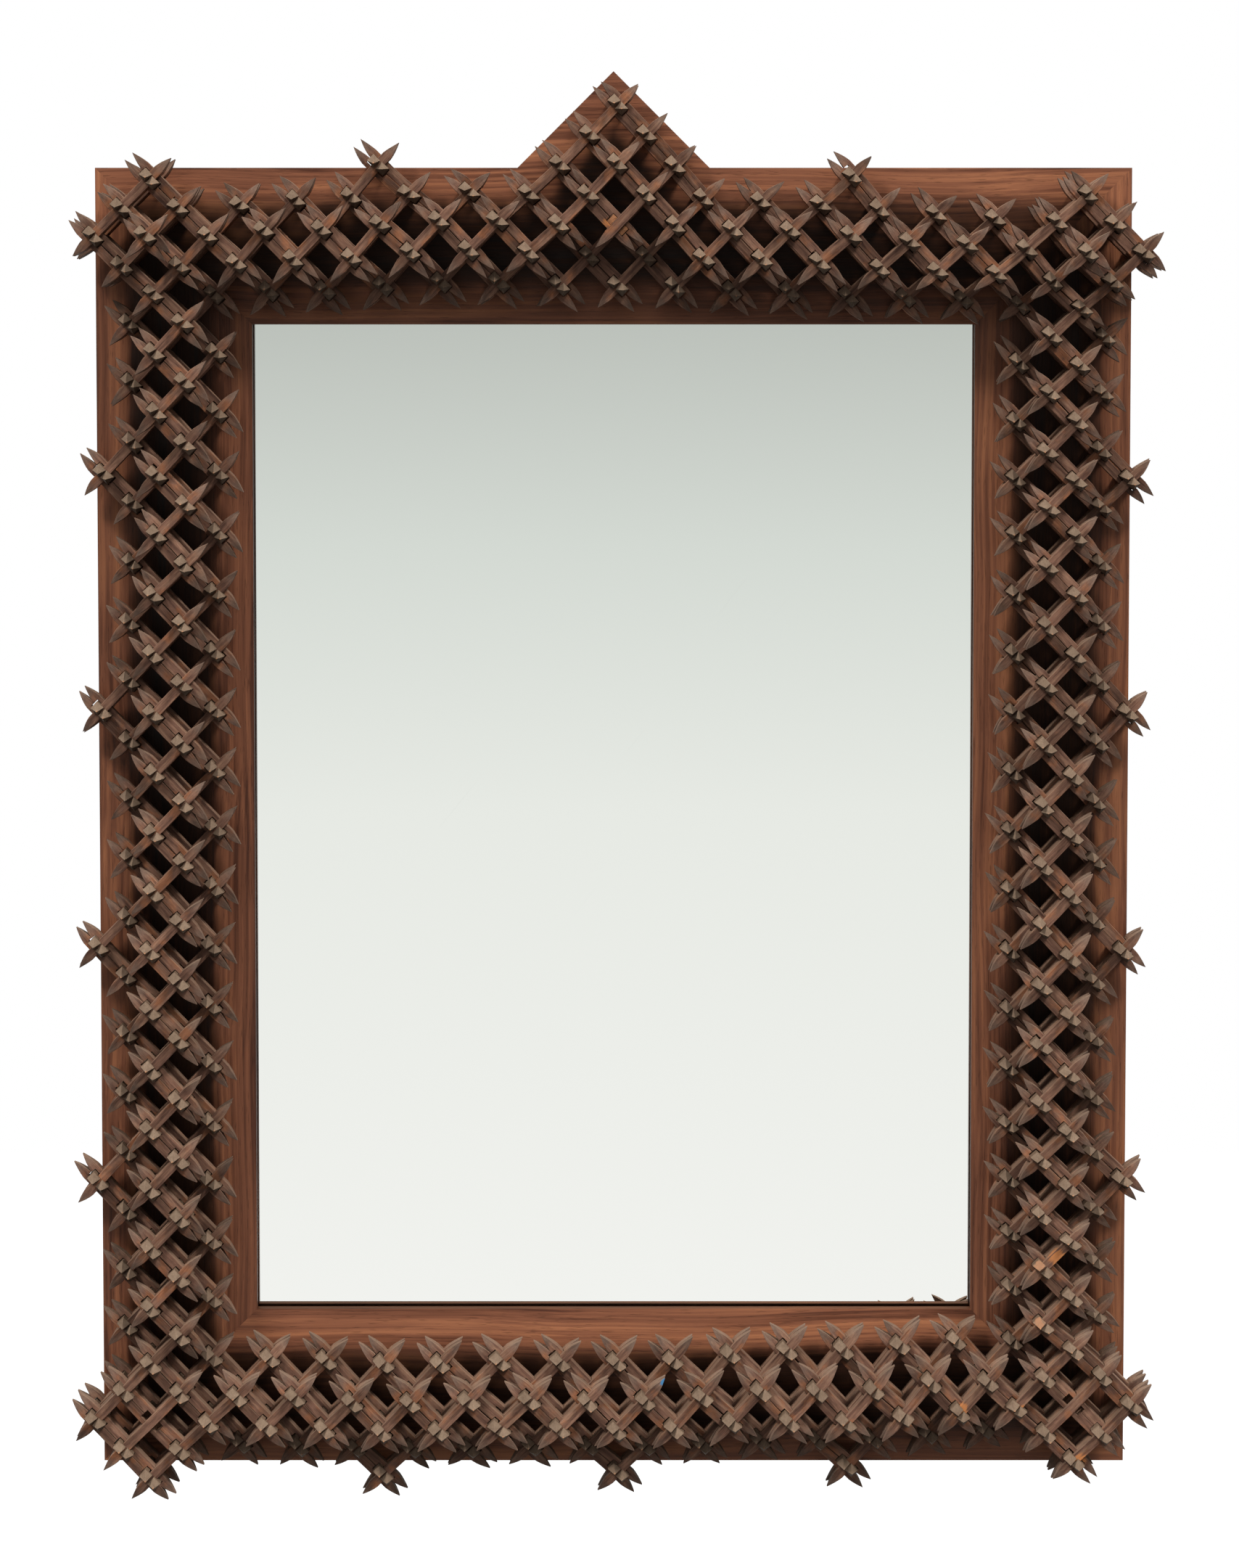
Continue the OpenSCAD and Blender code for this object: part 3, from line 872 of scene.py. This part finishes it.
def makePegKit(seed):
    rng = np.random.default_rng(seed)
    kinds = [(layers, down) for layers in (1, 2, 3) for down in (1, -1) for _ in range(peg["alternates"])]
    return makeKit("peg", [lambda part, kind=kind: makePeg(part, *kind, rng) for kind in kinds])


pegKit = makePegKit(seed=21)
pegSlack = {"Slack": 0.2 * mm, "Lean": (0.012, 0.05, 0.012)}
pegSeed = 80


def pegSpot(solid, turn, part):
    middle = middleOf(solid)
    return (middle[0], -lattice["boardFront"], middle[2]), (0, peg["pairAngle"] + turn, 0), part


def makePegs(node, layers, order):
    seed = pegSeed + order
    rng = np.random.default_rng(seed)
    spots = []
    for solid in solidsOf(node):
        for k, turn in enumerate((0, math.pi)):
            part = (2 * layers - 2 + k) * peg["alternates"] + rng.integers(peg["alternates"])
            spots.append(pegSpot(solid, turn, part))
    piece = layPieces(node + ".pegs", spots, {
        "Kit": pegKit, "Finish": pegWood, "Seed": seed, **pegSlack, **handLaid})
    stand(piece, "post_wood", node)
    return len(spots)


pegLayers = {"short_posts": 1, "tall_posts": 2, "star_posts": 3}
pegNodes = [(n, c) for n in sorted(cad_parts) for end, c in pegLayers.items() if n.endswith(end)]
print("pegs:", sum(makePegs(node, layers, k) for k, (node, layers) in enumerate(pegNodes)))


# Snapped pegs: the same shafts, torn off in splinters
stump = {"tear": 1.1 * mm, "tearShare": 0.3, "crestFresh": 0.7, "cornerFresh": 0.1, "seed": 31}


def makeStump(name, top, raw, rng):
    rings = pegRings(top, 2)
    made = loftBar(name, rings, alongPeg, [0.0] * len(rings), lambda spots: spots)
    shape = bmesh.new()
    shape.from_mesh(made.data)
    shape.verts.ensure_lookup_table()
    torn = [v for v in shape.verts if v.co.y < -top + 1e-7]
    face = next(f for f in shape.faces if all(v in torn for v in f.verts))
    poked = bmesh.ops.poke(shape, faces=[face])["verts"]
    for v in torn + poked:
        v.co.y += rng.uniform(-stump["tear"], stump["tear"]) * stump["tearShare"]
    poked[0].co.y -= stump["tear"] * stump["tearShare"]
    fresh = [raw if v.co.y < -top + stump["tear"] else 0.0 for v in shape.verts]
    shape.to_mesh(made.data)
    shape.free()
    made.data.attributes.new("fresh", "FLOAT", "POINT").data.foreach_set("value", fresh)
    return made


def makeStumps(node):
    rng = np.random.default_rng(stump["seed"])
    makers, spots = [], []
    for solid in solidsOf(node):
        top = -solid[:, 1].min() - lattice["boardFront"] - stump["tear"]
        raw = stump["crestFresh"] if middleOf(solid)[2] > 0 else stump["cornerFresh"]
        for turn in (0, math.pi):
            spots.append(pegSpot(solid, turn, len(makers)))
            makers.append(lambda part, top=top, raw=raw: makeStump(part, top, raw, rng))
    piece = layPieces(node + ".stumps", spots, {
        "Kit": makeKit("stump", makers), "Finish": pegWood, "Seed": stump["seed"], **handLaid})
    stand(piece, "fresh_wood", node)


makeStumps("snapped_posts")
print("stumps done")


# Boards, planks, glass and hangers keep the solids' shape, with eased edges
eased = {
    "left_stile": ("board", stileWood, "board_walnut", 0.5 * mm),
    "right_stile": ("board", stileWood, "board_walnut", 0.5 * mm),
    "top_rail": ("board", railWood, "board_walnut", 0.5 * mm),
    "bottom_rail": ("board", railWood, "board_walnut", 0.5 * mm),
    "back_planks": ("planks", plankWood, "plank_wood", 0.4 * mm),
    "mirror_glass": ("glass", mirrorSilver, "mirror", 0.3 * mm),
    "hanger_straps": ("straps", hangerSteel, "hanger_steel", 0.3 * mm),
}
sharpAngle = math.radians(35)
flatAngle = math.radians(0.5)
weld = 0.001 * mm
sunkFront = {"mirror_glass": 3.0 * mm}    # what shows is the silver at the back of the clear glass


def makeEased(node, label, finish, slot, width):
    shape = bmesh.new()
    shape.from_mesh(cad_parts[node].data)
    bmesh.ops.remove_doubles(shape, verts=shape.verts, dist=weld)
    bmesh.ops.dissolve_limit(shape, angle_limit=flatAngle, verts=shape.verts, edges=shape.edges)
    middle = (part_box(node)[0][1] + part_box(node)[1][1]) / 2
    for v in shape.verts:
        v.co.y += sunkFront.get(node, 0.0) if v.co.y < middle else 0.0
    sharp = [e for e in shape.edges if len(e.link_faces) == 2 and e.calc_face_angle() > sharpAngle]
    bmesh.ops.bevel(shape, geom=sharp, offset=width, segments=2, profile=0.5, affect="EDGES",
                    clamp_overlap=True)
    mesh = bpy.data.meshes.new(node + "." + label)
    shape.to_mesh(mesh)
    shape.free()
    mesh.materials.append(finish)
    piece = bpy.data.objects.new(node + "." + label, mesh)
    scene.collection.objects.link(piece)
    stand(piece, slot, node)


for node, (label, finish, slot, width) in eased.items():
    makeEased(node, label, finish, slot, width)
print("boards, planks, glass and hangers done")


# Turned heads for nails and screws
def makeTurned(name, profile, sides=20):
    shape = bmesh.new()
    points = [shape.verts.new((r, y, 0)) for r, y in profile]
    edges = [shape.edges.new(pair) for pair in zip(points, points[1:])]
    bmesh.ops.spin(shape, geom=points + edges, cent=(0, 0, 0), axis=(0, 1, 0), angle=2 * math.pi,
                   steps=sides, use_merge=True)
    bmesh.ops.remove_doubles(shape, verts=shape.verts, dist=0.005 * mm)
    bmesh.ops.recalc_face_normals(shape, faces=shape.faces)
    mesh = bpy.data.meshes.new(name)
    shape.to_mesh(mesh)
    shape.free()
    return bpy.data.objects.new(name, mesh)


# "lean" is how far a head may tilt, and turn about its shank, in radians
nail = {"head": 2.0 * mm, "headDeep": 1.0 * mm, "shank": 0.9 * mm, "length": 10 * mm, "headTall": 0.15 * mm,
        "lean": (0.02, 3.1, 0.02), "seed": 51}
screw = {"head": 3.0 * mm, "headTall": 1.5 * mm, "shank": 1.5 * mm, "length": 10 * mm,
         "slotWide": 0.8 * mm, "slotDeep": 0.6 * mm, "lean": (0.01, 3.1, 0.01), "seed": 52}


def makeNail(name, sizes=nail):
    return makeTurned(name, [
        (0, sizes["headTall"]), (0.6 * sizes["head"], 0.8 * sizes["headTall"]), (sizes["head"], 0),
        (sizes["head"], -0.4 * sizes["headDeep"]), (sizes["shank"], -sizes["headDeep"]),
        (sizes["shank"], -0.85 * sizes["length"]), (0, -sizes["length"])])


def makeScrew(name, sizes=screw):
    tall = sizes["headTall"]
    dome = [(sizes["head"] * math.sin(a), tall * math.cos(a)) for a in np.linspace(0, math.pi / 2, 6)]
    made = makeTurned(name, dome + [(sizes["shank"], 0), (sizes["shank"], -0.8 * sizes["length"]),
                                    (0, -sizes["length"])])
    shape = bmesh.new()
    shape.from_mesh(made.data)
    for offset in (-1, 1):
        bmesh.ops.bisect_plane(shape, geom=shape.verts[:] + shape.edges[:] + shape.faces[:],
                               plane_co=(0, 0, offset * sizes["slotWide"] / 2), plane_no=(0, 0, 1))
    inside = [f for f in shape.faces if abs(f.calc_center_median().z) < sizes["slotWide"] / 2
              and f.calc_center_median().y > 0.5 * tall]
    sunk = bmesh.ops.extrude_face_region(shape, geom=inside)
    bmesh.ops.delete(shape, geom=inside, context="FACES")
    for v in [g for g in sunk["geom"] if isinstance(g, bmesh.types.BMVert)]:
        v.co.y = tall - sizes["slotDeep"]
    bmesh.ops.recalc_face_normals(shape, faces=shape.faces)
    shape.to_mesh(made.data)
    shape.free()
    return made


def makeFasteners(node, maker, sizes, finish, slot):
    spots = []
    for solid in solidsOf(node):
        middle = middleOf(solid)
        spots.append(((middle[0], solid[:, 1].max() - sizes["headTall"], middle[2]), (0, 0, 0), 0))
    piece = layPieces(node + ".heads", spots, {
        "Kit": makeKit(node, [maker]), "Finish": finish, "Seed": sizes["seed"],
        "Lean": sizes["lean"]})
    stand(piece, slot, node)


makeFasteners("plank_nails", makeNail, nail, nailSteel, "nail_steel")
makeFasteners("hanger_screws", makeScrew, screw, hangerSteel, "hanger_steel")
print("nails and screws done")


# Studio: white surroundings, a pale floor well below, two lamps high up in front and one behind
studio = {
    "floorZ": -1.5,
    "floorHalf": 5.0,
    "floorTone": (0.9, 0.9, 0.89, 1.0),
    "floorGlow": 0.94,
    "floorBright": 1.05,
    "keysFrom": {"leftKey": (-0.48, -0.40, 0.78), "rightKey": (0.46, -0.40, 0.78)},
    "keyPower": 2.95,
    "keySpreadDeg": 12,
    "backPlace": (0.9, 2.0, 1.4),
    "backSize": (1.6, 1.2),
    "backPower": 48.0,
}
# Light of the surroundings, from straight below (0) to straight above (1)
roomLight = [(0.25, (0.10, 0.10, 0.10, 1)), (0.5, (0.29, 0.29, 0.29, 1)), (0.65, (0.43, 0.43, 0.44, 1)),
             (0.85, (0.75, 0.75, 0.77, 1))]
# What the mirror sees, from below the horizon (0) to just above it (1)
mirrorSky = [(0.09, tint("fcfcfa")), (0.5, tint("f1f3ef")), (0.73, tint("dde2dd")), (1.0, tint("babeb9"))]
skySpan = (-0.32, 0.03)


def seenByEye(nodes):
    # whether the eye sees this directly, in a mirror or through glass; then whether in a mirror
    rays = nodes.tree.nodes.new("ShaderNodeLightPath")
    seen = [Wire(nodes, rays.outputs[k]) for k in ("Is Camera Ray", "Is Glossy Ray", "Is Transmission Ray")]
    return seen[0] + seen[1] + seen[2], seen[1]


def makeSurroundings():
    world = bpy.data.worlds.new("studio")
    scene.world = world
    world.use_nodes = True
    world.node_tree.nodes.clear()
    nodes = Nodes(world.node_tree)
    seen, glossy = seenByEye(nodes)
    way = nodes.add("ShaderNodeTexCoord", out="Generated")
    height = nodes.add("ShaderNodeSeparateXYZ", sockets={0: way}, out="Z")
    share = nodes.add("ShaderNodeMapRange", sockets={
        "Value": height, "From Min": skySpan[0], "From Max": skySpan[1]})
    sky = nodes.add("ShaderNodeValToRGB", {"stops": mirrorSky}, {0: share})
    shown = nodes.add("ShaderNodeMix", {"data_type": "RGBA"}, {0: glossy, 6: (1, 1, 1, 1), 7: sky}, out=2)
    room = nodes.add("ShaderNodeValToRGB", {"stops": roomLight}, {0: height * 0.5 + 0.5})
    light = nodes.add("ShaderNodeBackground", sockets={"Color": room})
    backdrop = nodes.add("ShaderNodeBackground", sockets={"Color": shown})
    both = nodes.add("ShaderNodeMixShader", sockets={0: seen, 1: light, 2: backdrop})
    result = world.node_tree.nodes.new("ShaderNodeOutputWorld")
    nodes.feed(result.inputs["Surface"], both)


def makeFloor():
    wide, low = studio["floorHalf"], studio["floorZ"]
    mesh = bpy.data.meshes.new("floor")
    corners = [(-wide, -wide, low), (wide, -wide, low), (wide, wide, low), (-wide, wide, low)]
    mesh.from_pydata(corners, [], [(0, 1, 2, 3)])
    floor = bpy.data.objects.new("floor", mesh)
    floor.visible_diffuse = False             # no light comes up from it
    scene.collection.objects.link(floor)
    paint = Paint("paleFloor")
    seen, glossy = seenByEye(paint)
    paint.finish({"Base Color": studio["floorTone"], "Roughness": 0.9})
    glow = paint.add("ShaderNodeEmission", sockets={"Color": (1, 1, 1, 1), "Strength": studio["floorBright"]})
    clear = paint.add("ShaderNodeBsdfTransparent")
    lit = paint.add("ShaderNodeMixShader", sockets={
        0: seen * studio["floorGlow"], 1: Wire(paint, paint.shader.outputs[0]), 2: glow})
    both = paint.add("ShaderNodeMixShader", sockets={0: glossy, 1: lit, 2: clear})
    paint.feed(paint.tree.nodes["Material Output"].inputs["Surface"], both)
    mesh.materials.append(paint.material)


def hangLamp(name, lamp, place, power):
    lamp.energy = power
    hung = bpy.data.objects.new(name, lamp)
    hung.location = place
    hung.rotation_euler = (-Vector(place)).to_track_quat("-Z", "Y").to_euler()
    hung.visible_glossy = False
    scene.collection.objects.link(hung)


def makeLamps():
    for name, place in studio["keysFrom"].items():
        key = bpy.data.lights.new(name, "SUN")
        key.angle = math.radians(studio["keySpreadDeg"])
        hangLamp(name, key, place, studio["keyPower"])
    back = bpy.data.lights.new("backLamp", "AREA")
    back.shape = "RECTANGLE"
    back.size, back.size_y = studio["backSize"]
    hangLamp("backLamp", back, studio["backPlace"], studio["backPower"])


makeSurroundings()
makeFloor()
makeLamps()
print("studio done")
